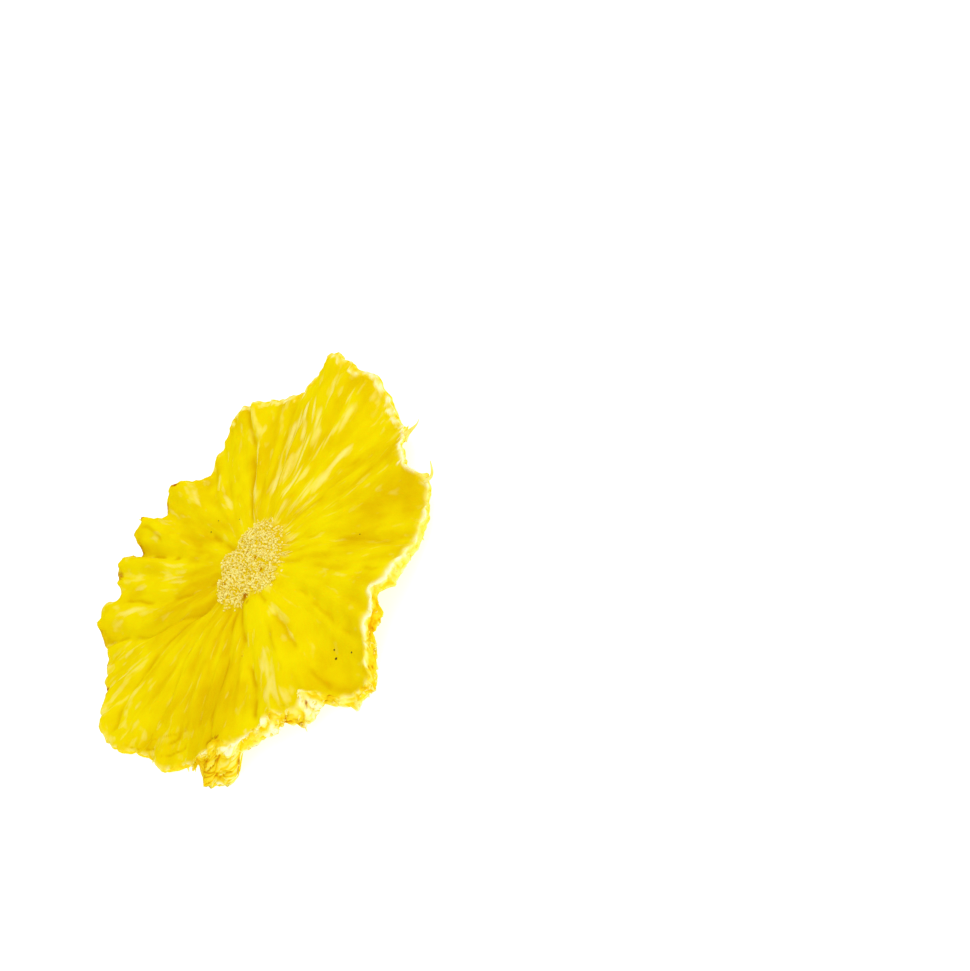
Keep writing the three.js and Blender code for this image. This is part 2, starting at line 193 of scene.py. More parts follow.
# %% Folds of the upper face: a line of (radius, degrees), how high (negative for a crease), how wide
FOLDS = [
    ([(8, 212), (11.6, 219), (19, 230), (29, 236), (37, 235)], -0.8, 1.3),
    ([(10, 246), (35, 247)], 0.9, 4.5),
    ([(9, 247), (16, 253), (24, 254), (38, 256)], -0.5, 1.0),
    ([(12, 268), (20, 266), (30, 262), (41, 262)], -0.6, 2.2),
    ([(17, 273), (28, 270), (38, 269)], -0.4, 1.0),
    ([(14, 290), (36, 286)], 0.4, 3.0),
    ([(9, 320), (19, 305), (31, 299), (39, 300)], -0.4, 1.2),
    ([(16, 312), (36, 318)], 0.4, 2.6),
    ([(10, 351), (20, 345), (25, 344)], -0.4, 0.9),
    ([(12, 352), (30, 355)], 0.4, 1.6),
    ([(14, 8), (36, 11)], 0.5, 1.7),
    ([(12, 17), (17, 24), (23, 26), (36, 28)], 0.5, 1.6),
    ([(13, 37), (34, 40)], 0.5, 1.5),
    ([(10, 53), (17, 53), (23, 51), (29, 50.5), (40, 53)], -0.7, 1.1),
    ([(12, 49), (17, 50), (23, 47.5), (29, 46.5), (37, 49.5)], 0.9, 1.4),
    ([(8, 90), (18, 90)], -0.6, 0.9),
    ([(24, 108), (38, 107)], -0.8, 1.3),
    ([(7, 132), (13, 137), (22, 131), (33, 125), (40, 122)], -0.7, 1.4),
    ([(15, 143), (25, 139), (37, 130)], 0.5, 1.8),
    ([(12, 162), (18, 151), (25, 146), (34, 137), (39, 135)], -0.6, 1.2),
    ([(16, 157), (26, 153), (37, 151)], 0.4, 2.0),
    ([(9, 161), (21, 160), (32, 165), (38, 170)], -0.5, 1.2),
    ([(9, 172), (19, 181), (28, 186), (36, 184)], -0.4, 1.1),
    ([(14, 190), (36, 196)], 0.4, 3.0),
    ([(10, 198), (17, 203), (27, 206), (36, 208)], -0.4, 1.1),
    ([(10, 206), (20, 216), (29, 216), (35, 218)], -0.8, 1.4),
]
FOLD_END = 2.5             # how far a fold fades past its ends
RIPPLES = [(37, 12, 0.14), (23, -17, 0.16), (53, 6, 0.09)]   # waves in a turn, lean, height

# Shreds that stick out of the cut edge: degrees, share of the way down it, out, up, width.
SHREDS = [
    (251.5, 0, -0.2, 1.0, 0.9), (238.5, 0, 0.3, 0.6, 1.0), (257.8, 1, 1.1, 0, 1.0), (246, 1, 0.7, 0, 0.9),
    (278, 0.7, 0.9, 0, 1.0), (285, 0.8, 0.8, 0, 1.0), (316, 0.5, 0.9, 0.5, 0.9), (340, 0.5, 0.9, 0.4, 0.9),
]
print(len(FOLDS), "folds,", len(SHREDS), "shreds")


# %% Reading the form
def smoothstep(value, low, high):
    t = np.clip((value - low) / (high - low), 0, 1)
    return t * t * (3 - 2 * t)


def bump(distance, width):
    return np.exp(-(distance / width) ** 2)


def turn_between(a, b):
    return (a - b + 180) % 360 - 180


def closed_curve(table, column, angle):
    """One column of a table at any angle, on a smooth closed curve; the first column is the angle."""
    at, y, n = table[:, 0], table[:, column], len(table)
    i = np.searchsorted(at, angle % 360, side="right") - 1

    def gap(a, b):
        return (at[b % n] - at[a % n]) % 360

    span = gap(i, i + 1)
    t = ((angle - at[i]) % 360) / span
    y0, y1, y2, y3 = (y[(i + k) % n] for k in (-1, 0, 1, 2))
    slope1 = (y2 - y0) / (gap(i - 1, i) + span) * span
    slope2 = (y3 - y1) / (span + gap(i + 1, i + 2)) * span
    return (y1 + slope1 * t + (3 * (y2 - y1) - 2 * slope1 - slope2) * t ** 2
            + (2 * (y1 - y2) + slope1 + slope2) * t ** 3)


def beside_line(line, radius, angle):
    """How far a point lies beside a line and past its ends, in millimetres."""
    radii, angles = zip(*line)
    aside = np.radians(turn_between(angle, np.interp(radius, radii, angles))) * radius
    past = np.maximum(np.maximum(radii[0] - radius, radius - radii[-1]), 0)
    return aside, past


def tab_share(angle):
    return 1 - smoothstep(abs(turn_between(angle, TAB["at"])) / TAB["half_width"], 0.6, 1.2)


def tab_lean(angle):
    off = abs(turn_between(angle, TAB["at"]))
    return TAB["lean"] * (1 - smoothstep(off, TAB["half_width"] / 2, TAB["lean_width"]))


def strongest_at(angle, at, width, least):
    """1 in one direction, falling to a smaller share in the others."""
    return least + (1 - least) * bump(turn_between(angle, at), width)


def crinkle(angle, column, wave):
    waves = sum(entry[column] * wave(np.radians(entry[0] * angle)) for entry in CRINKLES)
    return strongest_at(angle, *CRINKLED_AT) * waves


# %% The form: how far out a point lies, how high, and how thick the flesh is under it
def radius_at(share, angle):
    reach = closed_curve(RIM, 1, angle) + crinkle(angle, 1, np.sin)
    return share * (ROUND_RADIUS + (reach - ROUND_RADIUS) * share ** 3)


def fold_height(radius, angle):
    height = 0
    for line, rise, width in FOLDS:
        aside, past = beside_line(line, radius, angle)
        height = height + rise * bump(aside, width) * bump(past, FOLD_END)
    return height


def core_share(radius, angle, inside, outside):
    """1 on the core, 0 beyond it; it fades between two distances from the core's outline."""
    return 1 - smoothstep(radius - closed_curve(CORE_EDGE, 1, angle), inside, outside)


def top_height(share, angle):
    radius = radius_at(share, angle)
    lift = closed_curve(RIM, 2, angle) * smoothstep(share, LIFT_STARTS, 1) ** LIFT_POWER
    ripples = sum(h * np.sin(np.radians(count * (angle + lean * share))) for count, lean, h in RIPPLES)
    waves = ripples * smoothstep(share, 0.25, 0.6) + crinkle(angle, 2, np.cos) * smoothstep(share, 0.75, 1)
    return lift + fold_height(radius, angle) + waves + CORE_RISE * core_share(radius, angle, -0.8, 0.8)


def thickness_at(share, angle):
    radius = radius_at(share, angle)
    at_rim = bump(radius_at(1, angle) - radius, RIM_BEAD_WIDTH)
    core = (CORE_THICKNESS - FLESH_THICKNESS) * core_share(radius, angle, -1, 4)
    edge = closed_curve(RIM, 3, angle) - FLESH_THICKNESS + TAB["drop"] * tab_share(angle)
    feet = sum(depth * bump(np.hypot(np.radians(turn_between(angle, a)) * radius, radius - r), FOOT_SIZE)
               for r, a, depth in FEET)
    return FLESH_THICKNESS + core + edge * at_rim + feet


lobes = radius_at(1.0, RIM[:, 0])
print("edge between", lobes.min().round(1), "and", lobes.max().round(1), "mm from the core's centre")

# %% [markdown]
# ## Fibres and wrinkles
# The flesh is made of fibres that fan out from the core, fork on their way and wander a little. Noise
# that is stretched along the radius looks like that. To avoid a seam where the angle starts again, the
# noise is read on a cylinder: the cosine and sine of the angle, and the radius as the height. A bigger
# cylinder gives more fibres, so several take over from each other on the way out, as forks do.
# Where such noise crosses zero it draws long thin lines that meet and part, which makes good wrinkles.

# %% The relief of the fibres
FORK_RADII = (6, 12, 20, 30, 42)   # where each cylinder's fibres are clearest
FORK_BLEND = 0.4                   # how far they reach from there, as a logarithm of the radius
WANDER, WANDER_SIZE = 2.2, 12.0    # how far the fibres stray sideways, in degrees, and over what length
WANDER_LEVEL = 3.7                 # where in the noise that is read
# Width and length of each pattern, and a shift that sets it apart from the others.
SWELLS, SWELL_HEIGHT = (3.6, 16.0, 0.5), 0.18
RIDGES, RIDGE_HEIGHT = (1.4, 9.0, 40.5), 0.02
WRINKLES, WRINKLE_DEPTH = (2.8, 12.0, 80.5), 0.04
WRINKLE_LINE = 0.07                # how near zero the noise must be
WRINKLED_PLACES = (5.0, 14.0, 120.5)
CALM_AT, CALM_SHARE = (222, 26, 0.0), 0.6      # where the swells are lower and the wrinkles end
# Size and shift of the noise, for the dents near the crinkled edge and the crumbs right at it.
DENTS, DENT_DEPTH = (2.8, 60), 0.28
CRUMBS, CRUMB_HEIGHT = (1.0, 25), 0.24
CRUMBLY_WIDTH, CRUMBS_AT = 1.8, (25, 40, 0.3)
UNDERSIDE_RELIEF = 0.4             # the underside shows this share of the relief, turned over


def noise_at(points, size=1.0, shift=0.0):
    """Smooth noise between about -1 and 1 at many points; its bumps are about as wide as size."""
    return np.array([noise.noise(point) for point in (points / size + shift).tolist()]) * 1.6


def fibre_noise(radius, angle, width, length, shift):
    """Noise drawn out along the fibres, as wide and as long as asked at every radius."""
    turned = np.radians(angle)
    total, weights = np.zeros_like(radius), np.full_like(radius, 1e-9)
    for clearest in FORK_RADII:
        weight = bump(np.log(np.maximum(radius, 1) / clearest), FORK_BLEND)
        near = weight > 0.01
        size = clearest / width
        points = [size * np.cos(turned[near]), size * np.sin(turned[near]),
                  radius[near] / length + shift + clearest]
        total[near] += weight[near] * noise_at(np.stack(points, 1))
        weights[near] += weight[near] ** 2
    return total / np.sqrt(weights)


def wandering_angle(radius, angle):
    x, y = radius * np.cos(np.radians(angle)), radius * np.sin(np.radians(angle))
    points = [x / WANDER_SIZE, y / WANDER_SIZE, np.full_like(x, WANDER_LEVEL)]
    return angle + WANDER * noise_at(np.stack(points, 1))


# %% [markdown]
# ## The body of the slice
# A flat grid is rounded onto a disc so that its rings become circles and its cells stay nearly equal.
# Extruding it gives the second face and the wall between them, and cutting the wall's upright edges
# gives it rows for its crinkles. Only then is every vertex moved to its place by the functions above.
# Extruding leaves the new parts in an order that changes with each run, so all are sorted by place:
# the shreds on the edge are drawn from that order later.

# %% A disc with two faces and a finely divided wall
GRID_CELLS = 200
WALL_ROWS = 20


def square_to_disc(x, y):
    """Share of the way out and angle in degrees for a point of the square from -1 to 1."""
    share = max(abs(x), abs(y))
    if share == 0:
        return 0.0, 0.0
    if abs(x) > abs(y):
        angle = 45 * y / x if x > 0 else 180 + 45 * y / x
    else:
        angle = 90 - 45 * x / y if y > 0 else 270 - 45 * x / y
    return share, angle


def order_of(part):
    """A number for the place of a vertex or a face, to sort them by."""
    x, y, z = part.co if isinstance(part, bmesh.types.BMVert) else part.calc_center_median()
    return 1e6 * x + 1e3 * y + z


bm = bmesh.new()
bmesh.ops.create_grid(bm, x_segments=GRID_CELLS, y_segments=GRID_CELLS, size=1)
for vert in bm.verts:
    share, angle = square_to_disc(vert.co.x, vert.co.y)
    vert.co = (share * math.cos(math.radians(angle)), share * math.sin(math.radians(angle)), 0)
raised = bmesh.ops.extrude_face_region(bm, geom=bm.faces[:], use_keep_orig=True)
upper = [g for g in raised["geom"] if isinstance(g, bmesh.types.BMVert)]
bmesh.ops.translate(bm, vec=(0, 0, 1), verts=upper)
upright = [e for e in bm.edges if e.verts[0].co.z != e.verts[1].co.z]
bmesh.ops.subdivide_edges(bm, edges=upright, cuts=WALL_ROWS - 1, use_grid_fill=True)
bmesh.ops.recalc_face_normals(bm, faces=bm.faces[:])
for parts in (bm.verts, bm.faces):
    parts.sort(key=order_of)
slice_mesh = bpy.data.meshes.new("dried_slice_flesh")
bm.to_mesh(slice_mesh)
bm.free()
triangles = sum(len(p.vertices) - 2 for p in slice_mesh.polygons)
print(len(slice_mesh.vertices), "vertices,", triangles, "triangles")

# %% The upper face and the underside
flat = np.empty(len(slice_mesh.vertices) * 3)
slice_mesh.vertices.foreach_get("co", flat)
flat = flat.reshape(-1, 3)
share = np.clip(np.hypot(flat[:, 0], flat[:, 1]), 0, 1)
angle = np.degrees(np.arctan2(flat[:, 1], flat[:, 0])) % 360
side = flat[:, 2]
down = 1 - side
radius = radius_at(share, angle)
to_edge = radius_at(np.ones_like(share), angle) - radius

along = wandering_angle(radius, angle)
calm = strongest_at(angle, *CALM_AT)
swell = fibre_noise(radius, along, *SWELLS) * (1 - CALM_SHARE * calm)
ridges = fibre_noise(radius, along, *RIDGES)
lines = fibre_noise(radius, along, *WRINKLES)
here = smoothstep(fibre_noise(radius, along, *WRINKLED_PLACES), -0.1, 0.5)
wrinkles = bump(lines, WRINKLE_LINE) * here * (1 - calm)
on_flesh = 1 - core_share(radius, angle, -1, 1.5)
flat_place = np.stack([radius * np.cos(np.radians(angle)), radius * np.sin(np.radians(angle)), side], 1)
dents = np.minimum(noise_at(flat_place, *DENTS), 0.2) * smoothstep(share, 0.55, 0.95)
crumbly = bump(to_edge, CRUMBLY_WIDTH) * strongest_at(angle, *CRUMBS_AT)
crumb_noise = np.zeros_like(share)
close = crumbly > 0.02
crumb_noise[close] = noise_at(flat_place[close], *CRUMBS)
crumbs = crumbly * crumb_noise
fine = on_flesh * (SWELL_HEIGHT * swell + RIDGE_HEIGHT * ridges - WRINKLE_DEPTH * wrinkles
                   + DENT_DEPTH * dents)
fine += CRUMB_HEIGHT * crumbs

top = top_height(share, angle) + fine
bottom = top_height(share, angle) - thickness_at(share, angle) - UNDERSIDE_RELIEF * fine
print("relief from", fine.min().round(2), "to", fine.max().round(2), "mm")

# %% Narrow creases down the middle of the drawn-in folds, and arcs where the lower lobes curl
ARCS = [
    ([(33, 198), (34.7, 194), (36.6, 187), (38.5, 179)], 0.9), ([(34.5, 202), (36.3, 196), (38, 186)], 0.8),
    ([(31.5, 200), (33.2, 193), (35, 186)], 0.6), ([(21, 247), (35, 249)], 0.6),
    ([(12, 345), (17, 338), (23, 337)], 0.6),
    ([(9, 293), (21, 289), (34, 288)], 0.5), ([(25, 108), (31, 101), (36, 99)], 0.7),
]
CREASE_WIDTH, CREASE_DEPTH, CREASE_END = 0.4, 0.12, 1.5
CREASE_PER_FOLD = 1.3              # strength of the crease, for each millimetre that its fold is deep
NARROW_FOLD = 2                    # only folds narrower than this have one
SHAKE, SHAKE_SIZE = 0.6, 3.4       # how far drawn lines stray sideways, in degrees, and over what length
BREAKS = (4.0, 40)                 # size and shift of the noise that breaks the creases up
POCKET = (35.6, 219.0, 0.6)        # radius, degrees, depth of the hollow behind the tab

shaky = angle + SHAKE * noise_at(flat_place, SHAKE_SIZE)
broken = smoothstep(noise_at(flat_place, *BREAKS), -0.5, 0.3)
drawn = np.zeros_like(share)
crease_lines = [(line, -CREASE_PER_FOLD * rise) for line, rise, width in FOLDS
                if rise < 0 and width < NARROW_FOLD]
for line, strength in crease_lines + ARCS:
    aside, past = beside_line(line, radius, shaky)
    drawn = np.maximum(drawn, strength * bump(aside, CREASE_WIDTH) * bump(past, CREASE_END) * broken)
pocket = bump(radius - POCKET[0], 0.9) * bump(turn_between(angle, POCKET[1]), 4.0)
top -= on_flesh * CREASE_DEPTH * drawn + POCKET[2] * pocket * side
print(len(crease_lines) + len(ARCS), "creases drawn")

# %% [markdown]
# ## The cut edge
# The knife left a plain wall round the slice. It crumpled as it dried, and on the near side it was
# torn, where a tab of skin hangs down. A brush could crumple it by hand; here noise moves the vertices
# of the wall, because the size of noise without its sign has sharp valleys, like folds in dry skin.

# %% The wall from the upper edge to the lower one
at_edge = smoothstep(share, 0.85, 1)
near_edge = smoothstep(share, 0.93, 1)
flare = down * (closed_curve(RIM, 4, angle) + TAB["reach"] * tab_share(angle))
reach = radius + at_edge * flare + 4 * WALL_BULGE * side * down
turned = np.radians(angle + down * at_edge * tab_lean(angle))
height = side * top + down * np.maximum(bottom, -REST_DEPTH)
place = np.stack([reach * np.cos(turned), reach * np.sin(turned), height], 1)
outward = np.stack([np.cos(turned), np.sin(turned), np.zeros_like(turned)], 1)
wall = np.nonzero(near_edge > 0)[0]
print(len(wall), "vertices near the edge")

# %% Crumples
TORN_AT = (250, 34, 0.0)           # where the edge is torn, in degrees, and how wide that is
CRUMPLE_ALL, CRUMPLE_TORN = 0.2, 0.32          # how deep they are all round, and how much more there
CRUMPLE_SIZES = [(2.5, 1.0), (1.1, 0.5)]       # size, and share of the height
SAG_SHIFT = 17.3                   # sets apart the noise that moves the wall up and down
torn = strongest_at(angle, *TORN_AT)
crumple_size = ((CRUMPLE_ALL + CRUMPLE_TORN * torn) * near_edge)[wall]
stray = np.zeros_like(place)
crumples = np.full(len(wall), -1.0)
for size, part in CRUMPLE_SIZES:
    crumples += part * np.minimum(3 * abs(noise_at(place[wall], size)), 1)
    stray[wall, 2] += part * crumple_size * noise_at(place[wall], size, SAG_SHIFT)
print("crumples up to", crumple_size.max().round(2), "mm")

# %% The tab: long flat facets lie slantwise on it, with sharp folds between them
FACET = (1.2, 5.0)                 # width and length of a facet
TAB_DROP = 8.0                     # from the tab's upper edge to its tip
FACET_LEVEL, LIT_LEVEL = 7.5, 2.3  # where in the noise the facets and their tones are read
on_tab = (tab_share(angle) * near_edge * smoothstep(down, 0, 0.1))[wall]
across = np.radians(turn_between(angle[wall], TAB["at"])) * ROUND_RADIUS
fallen = TAB_DROP * down[wall]
facet_at = np.stack([(0.5 * across + fallen) / FACET[0], (1.2 * across - fallen) / FACET[1]])
facets = noise_at(np.stack([*facet_at, np.full_like(across, FACET_LEVEL)], 1))
lit_facets = smoothstep(noise_at(np.stack([*(0.8 * facet_at), np.full_like(across, LIT_LEVEL)], 1)), 0.0, 0.5)
crumples += on_tab * (1.2 * np.minimum(3.5 * abs(facets), 1) - 1 + 0.5 * lit_facets - crumples)
skin = np.zeros_like(place)
skin[wall] = np.stack([*facet_at, on_tab], 1)
stray[wall] += (crumple_size * crumples)[:, None] * outward[wall]
print(int((on_tab > 0.5).sum()), "vertices on the tab")

# %% Little teeth along the lower corner, a few bigger shreds, and nicks all round
TOOTH_WIDTH, TOOTH_LENGTH = 1.0, 0.35
NICK_SIZE, NICK_DEPTH = 1.4, 0.35
FAR_SIDE = (110, 50, 0.0)          # where the edge dried dark, thin and rough, and how wide that is

round_wall = outward[wall] * ROUND_RADIUS / TOOTH_WIDTH
round_wall[:, 2] = 0.4 * height[wall]
tooth = np.clip(1 - 2.5 * abs(noise_at(round_wall)), 0, 1) ** 2
tooth *= near_edge[wall] ** 2 * (0.3 + torn[wall]) * smoothstep(down[wall], 0.55, 1)
stray[wall] += (TOOTH_LENGTH * tooth)[:, None] * outward[wall]
for at, way_down, out, up, width in SHREDS:
    aside = np.radians(turn_between(angle, at)) * ROUND_RADIUS
    weight = near_edge ** 2 * bump(aside, 0.55 * width) * bump(down - way_down, 0.35)
    stray += weight[:, None] * (1.4 * out * outward + np.array([0, 0, 1.3 * up]))
far_side = strongest_at(angle, *FAR_SIDE)
rough = smoothstep(share, 0.9, 1) * (0.3 + 0.7 * far_side)
rough_at = rough > 0.01
for axis in (0, 1):
    stray[rough_at, axis] += NICK_DEPTH * rough[rough_at] * noise_at(place[rough_at], NICK_SIZE, 50 * axis)
place += stray
place[:, 2] = np.maximum(place[:, 2], -REST_DEPTH) + REST_DEPTH
low_corner, high_corner = place.min(0), place.max(0)
print("size", (high_corner - low_corner).round(2), "mm; top at", high_corner[2].round(2))

# %% [markdown]
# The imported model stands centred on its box. The core's centre is the fixed point of this form, so the
# coarse edge, without its crumples, is measured once more to find how far the box's middle lies from it.

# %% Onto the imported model
HEADROOM = 0.15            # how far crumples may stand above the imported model's box
rim_angles = np.arange(0, 360, 0.25)
rim_down = np.repeat([[0.0], [1.0]], len(rim_angles), axis=1).ravel()
rim_both = np.tile(rim_angles, 2)
rim_flare = closed_curve(RIM, 4, rim_both) + TAB["reach"] * tab_share(rim_both)
rim_reach = radius_at(1.0, rim_both) + rim_down * rim_flare
rim_turned = np.radians(rim_both + rim_down * tab_lean(rim_both))
edge_x, edge_y = rim_reach * np.cos(rim_turned), rim_reach * np.sin(rim_turned)
middle = np.array([edge_x.min() + edge_x.max(), edge_y.min() + edge_y.max()]) / 2
cad_low, cad_high = (np.array(corner) / MM for corner in cad_box)
CORE_PLACE = (cad_low + cad_high)[:2] / 2 - middle
place[:, :2] += CORE_PLACE
place[:, 2] = np.minimum(place[:, 2], cad_high[2] + HEADROOM)
slice_mesh.vertices.foreach_set("co", (place * MM).ravel())
slice_mesh.polygons.foreach_set("use_smooth", [True] * len(slice_mesh.polygons))
slice_mesh.update()
print("core centre at", CORE_PLACE.round(2), "mm")

# %% [markdown]
# ## What the surface remembers
# The material needs to know more than a place in space: which way the fibres run, how high a spot
# stands above its neighbours, where the flesh dried pale and where highlights are painted on it, where it
# browned and where shade is painted into it, and where it was cut. Each is stored on the vertices as an
# attribute, so it follows the form from every side. The height also sets painted light on the ridges and
# painted shade in the hollows.

# %% Pale streaks, flecks and mottles: pale flesh, and painted highlights
# Streaks of pale flesh, partly painted highlights: the points of each (radius, degrees), its width, its
# strength.
PALE_STREAKS = [
    ([(11, 49), (17, 50), (23, 48), (27, 46.5), (31, 47), (36, 49)], 1.2, 1.0),
    ([(32, 57), (38, 57)], 0.8, 0.5), ([(16, 31.5), (22, 30), (28, 29)], 1.2, 1.0),
    ([(17, 21.7), (25, 21)], 1.2, 1.0), ([(25.5, 13), (30, 15)], 1.5, 1.0),
    ([(23, 6.5), (30, 2)], 1.1, 1.0), ([(31, 3), (35, 3.5)], 1.0, 0.8),
    ([(29, 24.7), (31.5, 24.6)], 1.0, 0.9), ([(31, 37), (35.5, 38.2)], 0.9, 0.7),
    ([(12, 13), (19, 16)], 1.0, 0.7), ([(13, 356), (19, 353), (25, 353.7)], 1.4, 1.0),
    ([(27.8, 323), (28.6, 320)], 0.8, 0.9), ([(22, 324.6), (25.6, 327)], 1.4, 0.6),
    ([(10, 346), (16, 346)], 0.9, 0.8), ([(19, 72), (25, 72), (30, 71.5)], 1.0, 0.9),
    ([(28.6, 82.6), (33.7, 81.5)], 1.5, 0.9), ([(29, 92.5), (33, 92)], 1.6, 0.7),
    ([(30, 104), (32.5, 101)], 1.7, 0.6), ([(19, 113), (25.5, 115.3)], 1.6, 0.8),
    ([(19, 122), (23, 118.5)], 1.4, 0.7), ([(29.5, 131.6), (34.7, 129.2)], 1.2, 1.0),
    ([(33, 133.5), (36, 132.3)], 1.0, 0.9), ([(27, 157), (34.5, 155.5)], 1.5, 0.8),
    ([(29, 170), (32, 168)], 1.6, 0.6), ([(35.5, 166), (38.5, 165)], 1.7, 0.9),
    ([(35, 177), (37.5, 176)], 1.5, 0.6), ([(22, 197), (26, 197)], 1.2, 0.5),
    ([(28, 233), (29.5, 233)], 1.2, 0.7), ([(18, 235), (19.5, 235.5)], 1.2, 0.5),
    ([(24, 240), (28, 241.5)], 2.0, 0.9), ([(31, 242.5), (36, 245.5)], 2.4, 0.9),
    ([(14.5, 255), (22.5, 254)], 1.1, 0.9), ([(22, 288), (34, 294)], 1.2, 0.5),
    ([(33, 350), (36, 358)], 1.5, 0.7),
]
STREAK_END = 3.0                   # how far a streak fades past its ends
# Toward this side the flesh is painted paler and flecked more often: partly pale flesh, partly painted sheen.
PALE_SIDE = 15                     # the direction with the palest flesh and the most flecks, in degrees
# Width and length along the fibres, and shift: flecks, their groups, the strands that make a streak.
FLECKS, FLECK_GROUPS, STRANDS = (1.1, 6.0, 160.5), (7.0, 12.0, 200.5), (0.7, 4.0, 240.5)
# The mottles are pale blotches painted as soft highlights on the outer flesh.
MOTTLED_AT = (165, 50, 0.0)        # where the outer flesh is mottled, in degrees, and how wide that is
MOTTLES = (1.9, 90)                # size and shift of the noise there

turn_from_pale = turn_between(angle, PALE_SIDE)
pale = 0.55 * bump(turn_from_pale, 45) * smoothstep(radius, 10, 16) * smoothstep(to_edge, 1, 4)
streaks = np.zeros_like(share)
for line, width, strength in PALE_STREAKS:
    aside, past = beside_line(line, radius, shaky)
    streaks = np.maximum(streaks, strength * bump(aside, 1.2 * width) * bump(past, STREAK_END))
often = np.maximum(bump(turn_from_pale, 50), 0.35 * smoothstep(radius, 24, 31))
grouped = (0.1 + 0.9 * often) * smoothstep(fibre_noise(radius, along, *FLECK_GROUPS), -0.9, 0.7)
fleck_noise = fibre_noise(radius, along, *FLECKS)
strands = fibre_noise(radius, along, *STRANDS)
flecks = grouped * smoothstep(fleck_noise + 0.4 * np.maximum(pale, streaks), 0.45, 1.3)
flecks = np.clip(flecks + 0.65 * streaks * smoothstep(strands + 1.2 * streaks, 0.1, 1.6), 0, 1)
mottled = smoothstep(share, 0.7, 0.85) * strongest_at(angle, *MOTTLED_AT)
mottles = mottled * smoothstep(noise_at(flat_place, *MOTTLES), 0.0, 0.7)
# The crests of the crumbs along the edge are painted pale, as highlights.
flecks = np.maximum(flecks, np.maximum(smoothstep(crumbs, 0.1, 0.6), 0.45 * mottles))
flecks *= 1 - np.minimum(drawn, 1)
print(len(PALE_STREAKS), "streaks; share of the vertices with flecks:", (flecks > 0.5).mean().round(2))

# %% Deeper, brighter and browned places, with painted light and shade among them
# Broad deeper (negative) and brighter places of the flesh: radius, degrees, size, strength. They are partly
# the flesh's own tones and partly painted light and shade on its broad slopes.
BROAD_TONES = [
    (13, 120, 8, -0.7), (14, 165, 6, -0.6), (14, 254, 6, 1.5), (24, 251, 6, 1.2), (31, 252, 5, 0.7),
    (31, 100, 8, 0.8), (31, 135, 7, 0.7), (28, 195, 7, -0.8), (36, 170, 6, 1.1), (30, 218, 6, -0.6),
    (31, 315, 10, -0.7), (30, 340, 6, -0.7), (30, 241, 5, 0.7), (24, 215, 5, -0.5), (34, 275, 5, -0.6),
    (18, 20, 10, -0.4),
]
# Browned spots, and painted shade in hollows beside the edge: radius, degrees, size, strength.
BROWN_AND_SHADE_SPOTS = [
    # The spots from 84 to 116 degrees lie in the recesses beside curled far lobes: partly browning, partly
    # painted shade.
    (38.4, 116, 1.3, 0.7), (37.6, 155.5, 1.2, 0.9), (38.6, 107.5, 1.2, 0.8), (37.2, 91, 0.9, 0.9),
    (36.9, 84, 0.7, 0.8), (38.2, 98, 0.8, 0.6), (40.2, 246, 0.7, 0.6), (39.0, 243, 0.9, 0.5),
    (40.6, 272, 0.8, 0.5), (39.4, 275, 0.7, 0.5), (7.2, 222, 1.2, 0.9), (9.2, 229, 0.7, 0.6),
    # These four, at 217 to 224 degrees, are painted shade in the hollow behind the tab's upper edge.
    (35.3, 217.4, 0.7, 0.8), (35.7, 219.8, 0.7, 0.9), (36.0, 221.8, 0.7, 0.9), (36.2, 223.6, 0.6, 0.8),
    (41.4, 217, 0.9, 0.6), (36.5, 186, 1.6, 0.3),
]
# Small gaps in the core, painted dark as the shade in them: radius, degrees, size, strength.
CORE_GAPS = [(2.3, 68, 0.5, 1.0), (1.4, 319, 0.5, 1.0), (4.5, 269, 0.45, 0.9), (6.4, 157, 0.45, 0.9),
             (7.3, 222, 0.6, 1.0)]
# Browned places on the cut edge: degrees, how wide, share of the way down, how far, strength.
BROWN_STRETCHES = [(250.4, 0.6, 0.3, 0.06, 1.0), (230.5, 0.9, 0.65, 0.3, 0.9), (218.5, 0.8, 0.55, 0.3, 0.5)]
BROWN_PATCHES = (2.2, 30)          # size and shift of the noise that breaks up the browned far edge
BROWN_RIM = 0.6                    # how wide that edge is


def spots_at(radius, angle, spots):
    """The strength of every round spot at every point."""
    return [strength * bump(np.hypot(np.radians(turn_between(angle, a)) * radius, radius - r), size)
            for r, a, size, strength in spots]


def along_cut(stretches):
    """The sum of the given stretches of the cut edge, at every vertex of the body."""
    return sum(strength * bump(turn_between(angle, at), width) * bump(down - way_down, how_far)
               for at, width, way_down, how_far, strength in stretches)


broad_tones = sum(spots_at(radius, along, BROAD_TONES))
browning_and_shade = np.max(spots_at(reach, angle, BROWN_AND_SHADE_SPOTS + CORE_GAPS), axis=0)
browning_and_shade += along_cut(BROWN_STRETCHES) * near_edge
patchy = smoothstep(noise_at(flat_place, *BROWN_PATCHES), -0.3, 0.5)
browning_and_shade += 0.6 * bump(to_edge, BROWN_RIM) * far_side * patchy
print(len(BROWN_AND_SHADE_SPOTS), "browned spots,", len(CORE_GAPS), "gaps in the core")

